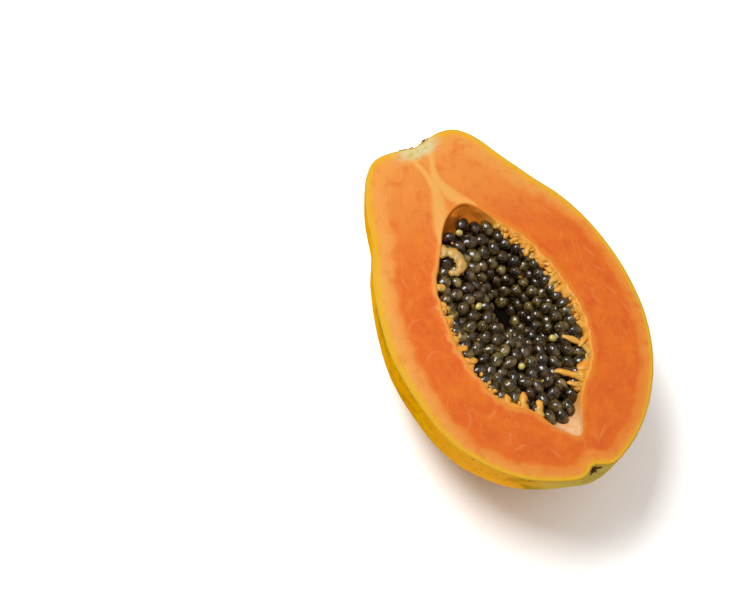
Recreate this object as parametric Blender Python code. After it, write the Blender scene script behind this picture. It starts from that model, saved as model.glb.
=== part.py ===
"""A papaya cut in half lengthways, lying on its rounded back with the cut face up and level.

Metres. +Y runs along the fruit to its stem end, +X across the cut face and +Z up. The half rests on a small
flat spot at z = 0. Two solids: the flesh with its skin, and the mass of seeds that fills its cavity but for
both ends and a hollow in the middle.
"""

import math

import bmesh
import bpy
import numpy as np
from mathutils import Matrix, Vector, noise

MM = 0.001

# The outline of the cut face round the fruit's centre: (degrees from the stem end, millimetres from the
# centre). Positive angles are on the +X side. The shoulder beside the stem stands higher on that side.
SKIN_OUTLINE = (
    (-165, 80.2),
    (-140, 71.3),
    (-115, 60.0),
    (-95, 55.4),
    (-75, 53.6),
    (-55, 55.6),
    (-40, 60.0),
    (-27, 72.1),
    (-15, 83.5),
    (0, 82.5),
    (15, 87.0),
    (30, 74.1),
    (40, 68.1),
    (55, 64.7),
    (75, 62.0),
    (95, 62.3),
    (115, 65.5),
    (140, 72.2),
    (160, 78.9),
    (175, 82.8),
)
BELLY_SHARE = 1.0  # depth of the fruit under the cut, as a share of its half width
LOBES = 5  # soft ridges round the fruit, and sides of its cavity
SKIN_LOBE = 0.012  # height of a ridge, as a share of the radius
# Where the stem broke off and where the blossom was: (centre of the dimple, depth, spread).
DIMPLES = (
    (Vector((2 * MM, 83 * MM, 0)), 0.7 * MM, 5 * MM),
    (Vector((4 * MM, -81 * MM, -1.5 * MM)), 4.0 * MM, 5.5 * MM),
)
FLAT_DEPTH = 1.2 * MM  # how far the back is flattened where it rests

# The outline of the seed cavity round its own centre, with the pointed tail towards the blossom end.
CAVITY_OUTLINE = (
    (-174, 55.0),
    (-165, 46.5),
    (-150, 43.0),
    (-130, 36.0),
    (-100, 30.0),
    (-70, 29.5),
    (-45, 34.0),
    (-22, 40.0),
    (-8, 49.0),
    (4, 54.0),
    (22, 43.5),
    (45, 36.0),
    (70, 30.5),
    (100, 30.8),
    (130, 35.5),
    (150, 40.5),
    (162, 43.0),
    (173, 51.0),
    (180, 60.0),
)
CAVITY_CENTRE = Vector((3.0 * MM, -5.0 * MM, 0))
CAVITY_BELLY_SHARE = 0.95
CAVITY_LOBE = 0.05

# The seed mass fills the cavity but for both ends, a gap all round, and the hollow in its middle.
SEED_GAP = 0.3 * MM
SEED_REACH = 53.5 * MM  # from the cavity's centre towards either end
SEED_DROP = 1.3 * MM  # mean depth of its top below the cut face at the rim
SEED_PITCH = 7 * MM
SEED_BUMP = 1.2 * MM
HOLLOW_CENTRE = Vector((3.5 * MM, 7 * MM))  # from the cavity's centre
HOLLOW_SIZES = Vector((7.5 * MM, 18 * MM))
HOLLOW_DEPTH = 22 * MM

SKIN_SEGMENTS, SKIN_RINGS = 56, 52
CAVITY_SEGMENTS, CAVITY_RINGS = 44, 40
LID_COLUMNS, LID_ROWS = 28, 38
LID_SIZES = Vector((70 * MM, 112 * MM, 30 * MM))  # clears the seed mass on every side
POLE_GATHER = 0.25  # draws the rings towards both ends, where the shape changes fastest


def smooth_ring(outline):
    """The radius in metres at any angle in radians, smooth through the outline's points and closed."""
    degrees, millimetres = np.array(outline, float).T
    angles = np.radians(np.concatenate([degrees - 360, degrees, degrees + 360]))
    radii = np.tile(millimetres * MM, 3)
    slopes = np.gradient(radii, angles)

    def radius(angle):
        i = int(np.searchsorted(angles, angle, side="right")) - 1
        span = angles[i + 1] - angles[i]
        t = (angle - angles[i]) / span
        ease = t * t * (3 - 2 * t)
        start_pull = t * (1 - t) ** 2 * span * slopes[i]
        end_pull = t * t * (t - 1) * span * slopes[i + 1]
        return float(radii[i] * (1 - ease) + radii[i + 1] * ease + start_pull + end_pull)

    return radius


skin_ring = smooth_ring(SKIN_OUTLINE)
cavity_ring = smooth_ring(CAVITY_OUTLINE)


def round_radius(ring, belly_share, lobe, polar, around):
    """The outline's radius at the cut, turning into the mean of its two sides at the back, with ridges.

    It is the same above the cut as below it.
    """
    right, left = ring(polar), ring(-polar)
    edge = right if math.cos(around) > 0 else left
    belly = belly_share * (right + left) / 2
    share = math.cos(around) ** 2
    ridge = -lobe * math.sin(polar) ** 2 * math.sin(LOBES * abs(around))
    return (edge * share + belly * (1 - share)) * (1 + ridge)


def skin_radius(polar, around):
    radius = round_radius(skin_ring, BELLY_SHARE, SKIN_LOBE, polar, around)
    point = radius * polar_direction(polar, around)
    for centre, depth, spread in DIMPLES:
        radius -= depth * math.exp(-(((point - centre).length / spread) ** 2))
    return radius


def cavity_radius(polar, around):
    return round_radius(cavity_ring, CAVITY_BELLY_SHARE, CAVITY_LOBE, polar, around)


def seed_radius(polar, around):
    return min(cavity_radius(polar, around) - SEED_GAP, SEED_REACH)


def seed_top(x, y):
    """Height of the uneven top over a point seen from the cavity's centre. It falls away into the hollow."""
    aside, along = (x - HOLLOW_CENTRE.x) / HOLLOW_SIZES.x, (y - HOLLOW_CENTRE.y) / HOLLOW_SIZES.y
    bump = SEED_BUMP * noise.noise(Vector((x, y, 0)) / SEED_PITCH)
    return bump - SEED_DROP - HOLLOW_DEPTH * math.exp(-(aside**2) - along**2)


def polar_direction(polar, around):
    """Unit vector at an angle from +Y, the stem end, and an angle about Y from +X."""
    sine = math.sin(polar)
    return Vector((sine * math.cos(around), math.cos(polar), sine * math.sin(around)))


def round_body(name, centre, radius, segments, rings):
    """A sphere with its poles at the fruit's ends, each point moved out to radius(polar, around)."""
    shape = bmesh.new()
    bmesh.ops.create_uvsphere(shape, u_segments=segments, v_segments=rings, radius=1)
    for vertex in shape.verts:
        even = math.acos(max(-1, min(1, vertex.co.z)))
        polar = even - POLE_GATHER * math.sin(2 * even)
        around = math.atan2(-vertex.co.y, vertex.co.x)
        vertex.co = centre + radius(polar, around) * polar_direction(polar, around)
    mesh = bpy.data.meshes.new(name)
    shape.to_mesh(mesh)
    shape.free()
    return bpy.data.objects.new(name, mesh)


def cut_level(body, height, keep_below):
    """Cuts the mesh at a height, keeps one side, and closes it with a flat face."""
    shape = bmesh.new()
    shape.from_mesh(body.data)
    cut = bmesh.ops.bisect_plane(
        shape,
        geom=shape.verts[:] + shape.edges[:] + shape.faces[:],
        dist=0.01 * MM,
        plane_co=(0, 0, height),
        plane_no=(0, 0, 1),
        clear_outer=keep_below,
        clear_inner=not keep_below,
    )
    rim = [piece for piece in cut["geom_cut"] if isinstance(piece, bmesh.types.BMEdge)]
    bmesh.ops.contextual_create(shape, geom=rim)
    bmesh.ops.recalc_face_normals(shape, faces=shape.faces)
    shape.to_mesh(body.data)
    shape.free()


def seed_lid(name, centre):
    """What stands over the seeds: a block whose underside is their uneven top."""
    shape = bmesh.new()
    bmesh.ops.create_grid(shape, x_segments=LID_COLUMNS, y_segments=LID_ROWS, size=0.5)
    roof = bmesh.ops.extrude_face_region(shape, geom=shape.faces[:], use_keep_orig=True)
    roof_points = {piece for piece in roof["geom"] if isinstance(piece, bmesh.types.BMVert)}
    for vertex in shape.verts:
        x, y = vertex.co.x * LID_SIZES.x, vertex.co.y * LID_SIZES.y
        z = LID_SIZES.z if vertex in roof_points else seed_top(x, y)
        vertex.co = centre + Vector((x, y, z))
    bmesh.ops.recalc_face_normals(shape, faces=shape.faces)
    mesh = bpy.data.meshes.new(name)
    shape.to_mesh(mesh)
    shape.free()
    return bpy.data.objects.new(name, mesh)


def cut_out(body, cutter):
    cut = body.modifiers.new("cut_out", "BOOLEAN")
    cut.operation = "DIFFERENCE"
    cut.solver = "EXACT"
    cut.object = cutter


def paint(body, colour, roughness):
    material = bpy.data.materials.new(body.name)
    material.use_nodes = True
    shader = material.node_tree.nodes["Principled BSDF"]
    shader.inputs["Base Color"].default_value = (*colour, 1)
    shader.inputs["Roughness"].default_value = roughness
    shader.inputs["Metallic"].default_value = 0
    body.data.materials.append(material)
    body.data.shade_smooth()
    body.data.set_sharp_from_angle(angle=math.radians(40))


def lowest(body):
    return min(vertex.co.z for vertex in body.data.vertices)


def stand(bodies, shape):
    """Moves every mesh so that the shape's box is centred over the origin and its foot is at z = 0."""
    corners = np.array([vertex.co for vertex in shape.data.vertices])
    middle = (corners.min(axis=0) + corners.max(axis=0)) / 2
    offset = Matrix.Translation((-middle[0], -middle[1], -lowest(shape)))
    for body in bodies:
        body.data.transform(offset)


for old in list(bpy.data.objects):
    bpy.data.objects.remove(old)

flesh = round_body("flesh", Vector(), skin_radius, SKIN_SEGMENTS, SKIN_RINGS)
cut_level(flesh, 0, keep_below=True)
cut_level(flesh, lowest(flesh) + FLAT_DEPTH, keep_below=False)

cavity = round_body("cavity", CAVITY_CENTRE, cavity_radius, CAVITY_SEGMENTS, CAVITY_RINGS)
cut_out(flesh, cavity)

seeds = round_body("seeds", CAVITY_CENTRE, seed_radius, CAVITY_SEGMENTS, CAVITY_RINGS)
lid = seed_lid("lid", CAVITY_CENTRE)
cut_out(seeds, lid)

stand((flesh, cavity, seeds, lid), flesh)
paint(flesh, (0.80, 0.16, 0.022), 0.35)
paint(seeds, (0.035, 0.03, 0.02), 0.25)

parts = bpy.data.collections.new("papaya_half")
bpy.context.scene.collection.children.link(parts)
for piece in (flesh, seeds):
    parts.objects.link(piece)

cutters = bpy.data.collections.new("cutters")
bpy.context.scene.collection.children.link(cutters)
for piece in (cavity, lid):
    cutters.objects.link(piece)
    piece.hide_render = True
    piece.display_type = "WIRE"
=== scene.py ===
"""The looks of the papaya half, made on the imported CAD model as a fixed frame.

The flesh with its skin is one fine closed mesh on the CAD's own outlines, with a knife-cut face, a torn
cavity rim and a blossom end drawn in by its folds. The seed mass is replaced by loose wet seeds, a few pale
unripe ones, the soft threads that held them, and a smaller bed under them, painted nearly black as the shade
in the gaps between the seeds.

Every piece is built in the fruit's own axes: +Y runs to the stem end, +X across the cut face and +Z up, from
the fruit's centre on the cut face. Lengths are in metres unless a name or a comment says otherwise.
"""

import math

import bpy
import numpy as np
from mathutils import Matrix, Vector, noise


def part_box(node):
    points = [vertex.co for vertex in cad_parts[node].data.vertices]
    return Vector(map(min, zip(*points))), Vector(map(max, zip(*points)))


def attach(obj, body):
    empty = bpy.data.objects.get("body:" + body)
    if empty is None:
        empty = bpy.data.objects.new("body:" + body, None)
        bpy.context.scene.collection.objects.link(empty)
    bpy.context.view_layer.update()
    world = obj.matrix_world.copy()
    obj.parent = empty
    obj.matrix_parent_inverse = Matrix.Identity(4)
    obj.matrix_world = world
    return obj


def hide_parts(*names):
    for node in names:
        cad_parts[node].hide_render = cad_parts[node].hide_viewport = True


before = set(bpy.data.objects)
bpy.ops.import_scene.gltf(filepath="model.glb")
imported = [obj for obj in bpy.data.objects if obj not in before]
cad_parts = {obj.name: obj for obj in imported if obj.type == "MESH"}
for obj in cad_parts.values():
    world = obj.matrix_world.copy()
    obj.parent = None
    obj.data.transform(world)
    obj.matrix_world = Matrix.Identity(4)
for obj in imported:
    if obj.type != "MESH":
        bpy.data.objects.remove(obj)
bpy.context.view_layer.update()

MM = 0.001

# ---- the fruit's outlines, as in the CAD
# (degrees from the stem end, positive towards +X; millimetres from the centre)
SKIN_OUTLINE = (
    (-165, 80.2), (-140, 71.3), (-115, 60.0), (-95, 55.4), (-75, 53.6), (-55, 55.6), (-40, 60.0),
    (-27, 72.1), (-15, 83.5), (0, 82.5), (15, 87.0), (30, 74.1), (40, 68.1), (55, 64.7), (75, 62.0),
    (95, 62.3), (115, 65.5), (140, 72.2), (160, 78.9), (175, 82.8),
)
CAVITY_OUTLINE = (
    (-174, 55.0), (-165, 46.5), (-150, 43.0), (-130, 36.0), (-100, 30.0), (-70, 29.5), (-45, 34.0),
    (-22, 40.0), (-8, 49.0), (4, 54.0), (22, 43.5), (45, 36.0), (70, 30.5), (100, 30.8), (130, 35.5),
    (150, 40.5), (162, 43.0), (173, 51.0), (180, 60.0),
)
BELLY_SHARE, SKIN_LOBE = 1.0, 0.012
CAVITY_BELLY_SHARE, CAVITY_LOBE = 0.95, 0.05
LOBES = 5
CAVITY_CENTRE = np.array((3.0, -5.0, 0.0)) * MM
SEED_REACH = 53.5 * MM  # of the seeds, from the cavity's centre towards either end
SEED_DROP, SEED_BUMP, SEED_PITCH = 1.3 * MM, 1.2 * MM, 7 * MM

# Both ends: (centre, depth, spread). The dimple at the blossom end is drawn in a little further than in the
# CAD, and the skin swells into a nose under it.
STEM_DIMPLE = (np.array((2.0, 83.0, 0.0)) * MM, 0.7 * MM, 5 * MM)
BLOSSOM_DIMPLE = (np.array((3.0, -81.0, -1.2)) * MM, 5.0 * MM, 5.2 * MM)
BLOSSOM_NOSE = (np.array((4.0, -80.0, -9.5)) * MM, -2.0 * MM, 8 * MM)

# The hollow in the seeds, seen from the cavity's centre. It is a little wider, deeper and further aside than
# in the CAD.
HOLLOW_CENTRE = np.array((6.0, 6.0)) * MM
HOLLOW_SIZES = np.array((9.0, 17.5)) * MM
HOLLOW_DEPTH = 23 * MM


def smooth_ring(outline):
    """The radius at any angles in radians, smooth through the outline's points and closed."""
    degrees, millimetres = np.array(outline, float).T
    angles = np.radians(np.concatenate([degrees - 360, degrees, degrees + 360]))
    radii = np.tile(millimetres * MM, 3)
    slopes = np.gradient(radii, angles)

    def radius(angle):
        i = np.searchsorted(angles, angle, side="right") - 1
        span = angles[i + 1] - angles[i]
        t = (angle - angles[i]) / span
        ease = t * t * (3 - 2 * t)
        start_pull = t * (1 - t) ** 2 * span * slopes[i]
        end_pull = t * t * (t - 1) * span * slopes[i + 1]
        return radii[i] * (1 - ease) + radii[i + 1] * ease + start_pull + end_pull

    return radius


skin_ring = smooth_ring(SKIN_OUTLINE)
cavity_ring = smooth_ring(CAVITY_OUTLINE)


def towards(turn, dip):
    """Unit vectors at an angle from the stem end towards +X, and an angle down from level."""
    level = np.cos(dip)
    return np.stack([np.sin(turn) * level, np.cos(turn) * level, -np.sin(dip) + 0 * turn], axis=-1)


def round_radius(ring, belly_share, lobe, direction):
    """The outline's radius at the cut, turning into the mean of its sides at the back, with ridges."""
    polar = np.arccos(np.clip(direction[..., 1], -1, 1))
    around = np.arctan2(direction[..., 2], direction[..., 0])
    right, left = ring(polar), ring(-polar)
    edge = np.where(np.cos(around) > 0, right, left)
    belly = belly_share * (right + left) / 2
    share = np.cos(around) ** 2
    ridge = -lobe * np.sin(polar) ** 2 * np.sin(LOBES * np.abs(around))
    return (edge * share + belly * (1 - share)) * (1 + ridge)


def skin_radius(direction):
    """The skin's distance from the fruit's centre, with the dimples and the nose."""
    radius = round_radius(skin_ring, BELLY_SHARE, SKIN_LOBE, direction)
    point = radius[..., None] * direction
    for centre, depth, spread in (STEM_DIMPLE, BLOSSOM_DIMPLE, BLOSSOM_NOSE):
        radius = radius - depth * np.exp(-((np.linalg.norm(point - centre, axis=-1) / spread) ** 2))
    return radius


def cavity_radius(direction):
    """The cavity wall's distance from the cavity's centre."""
    return round_radius(cavity_ring, CAVITY_BELLY_SHARE, CAVITY_LOBE, direction)


def noise_at(points, pitch, shift=0.0):
    """Smooth noise, about -1 to 1, with features about a pitch across."""
    scaled = np.asarray(points, float) / pitch + shift
    flat = np.array([noise.noise(Vector(point)) for point in scaled.reshape(-1, 3)])
    return flat.reshape(scaled.shape[:-1])


def hollow_share(across):
    """The hollow's depth at places seen from the cavity's centre, as a share of its greatest depth."""
    return np.exp(-(((across - HOLLOW_CENTRE) / HOLLOW_SIZES) ** 2).sum(axis=-1))


def seed_top(across):
    """Height of the seeds' uneven top over places seen from the cavity's centre, falling into the hollow."""
    flat = np.concatenate([across, np.zeros_like(across[..., :1])], axis=-1)
    return SEED_BUMP * noise_at(flat, SEED_PITCH) - SEED_DROP - HOLLOW_DEPTH * hollow_share(across)


# ---- the fruit's centre in the frame
flesh_low, flesh_high = (np.array(corner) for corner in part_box("flesh"))
full_turn = np.linspace(-math.pi, math.pi, 1440, endpoint=False)
edge_curve = skin_radius(towards(full_turn, 0.0))[:, None] * towards(full_turn, 0.0)
edge_middle = (edge_curve.min(axis=0) + edge_curve.max(axis=0)) / 2
FRUIT_CENTRE = (flesh_low + flesh_high) / 2 - edge_middle
FRUIT_CENTRE[2] = flesh_high[2]
FOOT = flesh_low[2] - flesh_high[2]


# ---- mesh helpers
def lofted(rows, first_cap, last_cap):
    """A closed skin through rings of equal length, each end drawn to a point."""
    rows = np.asarray(rows)
    count, columns = rows.shape[:2]
    vertices = np.concatenate([[first_cap], rows.reshape(-1, 3), [last_cap]])
    column = np.arange(columns)
    after = (column + 1) % columns
    last = len(vertices) - 1
    faces = [(0, 1 + b, 1 + a) for a, b in zip(column, after)]
    for row in range(count - 1):
        near, far = 1 + row * columns, 1 + (row + 1) * columns
        faces += list(zip(near + column, near + after, far + after, far + column))
    near = 1 + (count - 1) * columns
    faces += [(near + a, near + b, last) for a, b in zip(column, after)]
    return vertices, faces


def joined(solids):
    """Several (vertices, faces) as one, with each solid's number for its vertices."""
    vertices, faces, owners = [], [], []
    start = 0
    for number, (points, sides) in enumerate(solids):
        vertices.append(points)
        faces += [tuple(corner + start for corner in side) for side in sides]
        owners += [number] * len(points)
        start += len(points)
    return np.concatenate(vertices), faces, np.array(owners)


def make_piece(name, vertices, faces, materials, slot, face_materials=None, **attributes):
    """A smooth-shaded mesh in the fruit's own axes, riding on the one body."""
    mesh = bpy.data.meshes.new(name)
    mesh.from_pydata(np.asarray(vertices).tolist(), [], [tuple(map(int, face)) for face in faces])
    for material in materials:
        mesh.materials.append(material)
    if face_materials is not None:
        mesh.polygons.foreach_set("material_index", np.asarray(face_materials, np.int32))
    for attribute, values in attributes.items():
        layer = mesh.attributes.new(attribute, "FLOAT", "POINT")
        layer.data.foreach_set("value", np.asarray(values, np.float32))
    mesh.shade_smooth()
    mesh.validate()
    piece = bpy.data.objects.new(name, mesh)
    bpy.context.scene.collection.objects.link(piece)
    piece.location = Vector(FRUIT_CENTRE)
    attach(piece, "root")
    return piece


TUBE_BUMP_PITCH = 1.6 * MM
ANY_SIDE = (0.3, 0.5, 0.81)  # a direction that no tube starts along


def tube(path, radii, sides=9, roughness=0.0, shift=0.0, flatness=1.0):
    """A soft tube along a path, closed at both ends. Flatness is its height as a share of its width."""
    path = np.asarray(path, float)
    along = np.gradient(path, axis=0)
    along /= np.linalg.norm(along, axis=1)[:, None]
    side = np.cross(along[0], ANY_SIDE)
    rings = []
    angles = np.linspace(0, 2 * math.pi, sides, endpoint=False)
    for point, heading, radius in zip(path, along, radii):
        side = side - heading * np.dot(side, heading)
        side /= np.linalg.norm(side)
        up = np.cross(heading, side)
        rings.append(point + radius * (np.cos(angles)[:, None] * side + np.sin(angles)[:, None] * up))
    rings = np.array(rings)
    centre = path[:, None, :]
    swell = 1 + roughness * noise_at(rings, TUBE_BUMP_PITCH, shift)
    rings = centre + (rings - centre) * swell[..., None] * (1, 1, flatness)
    start = path[0] - along[0] * radii[0] * 0.5
    end = path[-1] + along[-1] * radii[-1] * 0.5
    return lofted(rings, start, end)


def bend(start, middle, end, count):
    """Points on the curve that leaves start towards middle and arrives at end."""
    start, middle, end = (np.asarray(point) for point in (start, middle, end))
    t = np.linspace(0, 1, count)[:, None]
    return (1 - t) ** 2 * start + 2 * t * (1 - t) * middle + t * t * end


EGG_SIDES, EGG_RINGS = 20, 13
EGG_BLUNTNESS = 0.10  # how much wider one half is


def egg():
    """An egg of unit half sizes, long along Z."""
    heights = np.cos(np.linspace(0, math.pi, EGG_RINGS + 2)[1:-1])
    angles = np.linspace(0, 2 * math.pi, EGG_SIDES, endpoint=False)
    rows = []
    for height in heights:
        width = math.sqrt(1 - height**2) * (1 + EGG_BLUNTNESS * height)
        row = (width * np.cos(angles), -width * np.sin(angles), np.full(EGG_SIDES, height))
        rows.append(np.stack(row, axis=-1))
    return lofted(rows, (0, 0, 1), (0, 0, -1))


def turned_to(axis, spin=0.0):
    """A rotation that takes +Z to the axis."""
    quaternion = Vector(axis).to_track_quat("Z", "Y")
    return np.array(quaternion.to_matrix() @ Matrix.Rotation(spin, 3, "Z"))


def lump(shape, half_sizes, rotation, roughness, pitch, shift):
    """A unit shape's points at its size, turned, and swollen unevenly by noise."""
    points = (shape * half_sizes) @ rotation.T
    return points * (1 + roughness * noise_at(points, pitch, shift))[:, None]


# ---- material helpers
def srgb(red, green, blue):
    """A colour seen on a screen, 0 to 255, as the linear light that the shaders take."""
    shares = np.array((red, green, blue)) / 255
    linear = np.where(shares <= 0.04045, shares / 12.92, ((shares + 0.055) / 1.055) ** 2.4)
    return (*linear.tolist(), 1.0)


CUT_LIGHT, SKIN_LIGHT = 1.9, 1.55  # how brightly the lamps fall on the cut face and on the skin
ENDS_LIGHT, SHADE_LIGHT = 1.0, 0.9  # and on the skin's ends and its lower side
GLOSS = 0.018  # white light that the gloss adds to every colour
FLESH_GLOW = {  # light that comes through wet flesh
    "Subsurface_Scale": 1.0, "Subsurface_Radius": (2.0 * MM, 0.7 * MM, 0.3 * MM),
}


def seen(red, green, blue, light=CUT_LIGHT):
    """The surface's own colour, from what it looks like under the lamps."""
    return (*(max(part - GLOSS, 0.001) / light for part in srgb(red, green, blue)[:3]), 1.0)


class Paint:
    """Builds one node material, a node at a time."""

    def __init__(self, name, **settings):
        self.material = bpy.data.materials.new(name)
        self.material.use_nodes = True
        self.tree = self.material.node_tree
        self.shader = self.tree.nodes["Principled BSDF"]
        for socket, value in settings.items():
            self.shader.inputs[socket.replace("_", " ")].default_value = value

    def feed(self, socket, value):
        """Links a node's output to the socket, or sets the socket to a plain value."""
        if isinstance(value, bpy.types.NodeSocket):
            self.tree.links.new(value, socket)
        else:
            socket.default_value = value

    def set(self, name, value):
        self.feed(self.shader.inputs[name], value)

    def node(self, kind, output, settings=(), numbered=(), **named):
        """A new node's output. Its sockets are fed by their numbers or by their names."""
        made = self.tree.nodes.new("ShaderNode" + kind)
        for name, value in dict(settings).items():
            setattr(made, name, value)
        for socket, value in [*dict(numbered).items(), *named.items()]:
            self.feed(made.inputs[socket], value)
        return made.outputs[output]

    def place(self):
        return self.node("TexCoord", "Object")

    def along(self, axis):
        """How far along one of the fruit's axes the point is."""
        return self.node("SeparateXYZ", axis, Vector=self.place())

    def attribute(self, name):
        return self.node("Attribute", "Fac", {"attribute_name": name})

    def round_place(self, radius, height):
        """A place on a ring, by the angle from the stem end: what is drawn on it runs round the fruit."""
        x, y = (self.times(self.attribute(name), radius) for name in ("round_x", "round_y"))
        return self.node("CombineXYZ", "Vector", X=x, Y=y, Z=height)

    def stretched(self, vector, scale):
        """The vector with its three parts scaled, so that what is drawn on it is drawn out."""
        return self.node("Mapping", "Vector", Vector=vector, Scale=scale)

    def noise(self, pitch, detail=3.0, distortion=0.0, vector=None):
        """Cloudy noise from 0 to 1 with features about a pitch across."""
        return self.node(
            "TexNoise", "Fac",
            Vector=vector or self.place(), Scale=1 / pitch, Detail=detail, Distortion=distortion,
        )

    def cells(self, pitch, feature="F1"):
        """Distance to the middle of the nearest of many cells, or to its edge, in pitches."""
        return self.node("TexVoronoi", "Distance", {"feature": feature}, Vector=self.place(), Scale=1 / pitch)

    def steps(self, value, low, high, to_low=0.0, to_high=1.0):
        """The value, eased from low to high onto another range and held outside it."""
        numbers = dict(enumerate((value, low, high, to_low, to_high)))
        return self.node("MapRange", 0, {"interpolation_type": "SMOOTHSTEP"}, numbers)

    def math(self, operation, first, second=0.0):
        return self.node("Math", 0, {"operation": operation}, {0: first, 1: second})

    def times(self, first, second):
        return self.math("MULTIPLY", first, second)

    def mix(self, share, first, second):
        """The first colour, with the second over it by a share."""
        return self.node("Mix", 2, {"data_type": "RGBA"}, {0: share, 6: first, 7: second})

    def ramp(self, value, *stops):
        """A colour that runs through (position, colour) stops."""
        made = self.tree.nodes.new("ShaderNodeValToRGB")
        self.feed(made.inputs[0], value)
        elements = made.color_ramp.elements
        elements[0].position, elements[0].color = stops[0]
        elements[1].position, elements[1].color = stops[-1]
        for position, colour in stops[1:-1]:
            elements.new(position).color = colour
        return made.outputs[0]

    def relief(self, height, depth, layer="Normal"):
        """Relief of a depth in metres where the height runs from 0 to 1."""
        self.set(layer, self.node("Bump", "Normal", Height=height, Distance=depth, Strength=1.0))

    def rough(self, least, most, pitch, detail=3.0):
        """Roughness that wanders between two values."""
        self.set("Roughness", self.steps(self.noise(pitch, detail), 0.3, 0.7, least, most))


# ---- flesh and skin
COLUMNS = 600
SKIN_ROWS, CUT_ROWS, LIP_ROWS, WALL_ROWS = 46, 64, 6, 34
EDGE_GATHER, FLOOR_GATHER = 1.3, 1.5  # draw the rows of the skin and of the wall towards the cut
EDGE_BEVEL = 0.25 * MM
LIP_RADIUS = 0.9 * MM
FOLD_DEPTH, FOLD_REACH = 0.45 * MM, 6 * MM  # folds of the skin into the blossom end's dimple
STEM_MIDDLE, STEM_HALF_WIDTH = 1.5 * MM, 10.5 * MM
VEIN_HALF_WIDTH, VEIN_POINTS = 0.9 * MM, 24
STRANDS = (  # pale strands from the stem to the cavity: (x, y, half width) in mm
    ((-2.8, 84.0, 1.8), (-2.3, 78.4, 1.3), (-2.2, 73.3, 1.1), (-1.3, 70.0, 1.2), (-0.4, 66.1, 1.4),
     (-0.2, 59.5, 2.2), (-1.6, 54.8, 3.0), (-4.0, 49.0, 3.4), (-7.5, 42.0, 2.8), (-10.0, 35.0, 1.8)),
    ((8.6, 84.0, 1.8), (6.6, 77.4, 1.4), (5.0, 73.3, 1.3), (3.5, 69.2, 1.4), (2.6, 66.3, 1.6),
     (2.9, 61.0, 2.2), (4.3, 56.6, 3.0), (7.5, 51.5, 3.0), (12.0, 47.0, 1.6)),
)
VEINS = (  # paler lines in the flesh: (start, bend, end) on the cut, in mm
    ((40, 37), (42, 34), (44, 30)), ((49, 12), (51, 8), (52, 5)), ((49, 2), (51, 0), (52, -3)),
    ((49, -8), (51, -11), (52, -15)), ((52, -17), (53, -20), (53, -25)), ((-28, 39), (-31, 34), (-33, 28)),
    ((-34, 28), (-35, 25), (-34, 20)), ((-34, -11), (-38, -6), (-45, -15)),
    ((-45, -15), (-49, -18), (-46, -24)), ((-24, -52), (-25, -55), (-27, -58)),
    ((-20, -60), (-24, -60), (-27, -61)), ((-36, -38), (-37, -43), (-41, -46)),
    ((-24, -41), (-27, -44), (-32, -44)), ((-12, -65), (-10, -68), (-9, -72)),
    ((9, -66), (10, -69), (9, -72)), ((16, -65), (13, -68), (10, -70)), ((9, 78), (13, 76), (15, 71)),
    ((-8, 77), (-11, 73), (-15, 66)), ((-44, 1), (-42, 8), (-34, 6)),
)


def rise(value, middle, softness):
    """A smooth step from 0 to 1 about the middle, or from 1 to 0 where the softness is negative."""
    return 1 / (1 + np.exp(-(value - middle) / softness))


def rim_offset(turn):
    """How the torn rim strays from the cavity's outline: smooth towards the stem and ragged elsewhere."""
    ring = np.stack([np.sin(turn), np.cos(turn), 0 * turn], axis=-1)
    ragged = 0.25 + 0.75 * rise(np.abs(turn), 0.55, 0.08)
    coarse = 0.8 * MM * noise_at(ring, 0.17, 3.1)
    fine = 0.55 * MM * noise_at(ring, 0.06, 8.4)
    return (coarse + fine) * ragged


def shelf_reach(turn):
    """How far torn tissue stands out just under the rim: teeth on the right and the lower left."""
    ring = np.stack([np.sin(turn), np.cos(turn), 0 * turn], axis=-1)
    right = rise(turn, 0.28, 0.06) * rise(turn, 2.85, -0.05)
    left = rise(turn, -1.5, -0.1) * rise(turn, -2.9, 0.05)
    teeth = np.clip(noise_at(ring, 0.10, 12.3) + 0.35, 0, 1) ** 1.5
    return (0.6 + 4.2 * teeth) * MM * (right + 0.75 * left + 0.15)


def shelf_share(depth):
    """How much of that stands out at a depth under the cut: all of it at about 2 mm, none at 6 mm."""
    below = np.clip(depth - 2 * MM, 0, None)
    return (1 - np.exp(-depth / (0.9 * MM))) * np.exp(-((below / (2.4 * MM)) ** 2))


def nearest(points, curve, widths=1.0):
    """Distance from each point to the nearest of a curve's points, as a share of the width there."""
    flat = points[..., :2].reshape(-1, 2)
    found = []
    for start in range(0, len(flat), COLUMNS):
        apart = flat[start:start + COLUMNS, None] - curve[None, :, :2]
        found.append((np.sqrt((apart**2).sum(axis=-1)) / widths).min(axis=1))
    return np.concatenate(found).reshape(points.shape[:-1])


def dense(points, count=200):
    """A line through given points in millimetres, as many evenly spaced ones in metres."""
    points = np.asarray(points, float) * MM
    steps = np.concatenate([[0], np.cumsum(np.linalg.norm(np.diff(points[:, :2], axis=0), axis=1))])
    even = np.linspace(0, steps[-1], count)
    return np.stack([np.interp(even, steps, axis) for axis in points.T], axis=-1)


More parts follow.
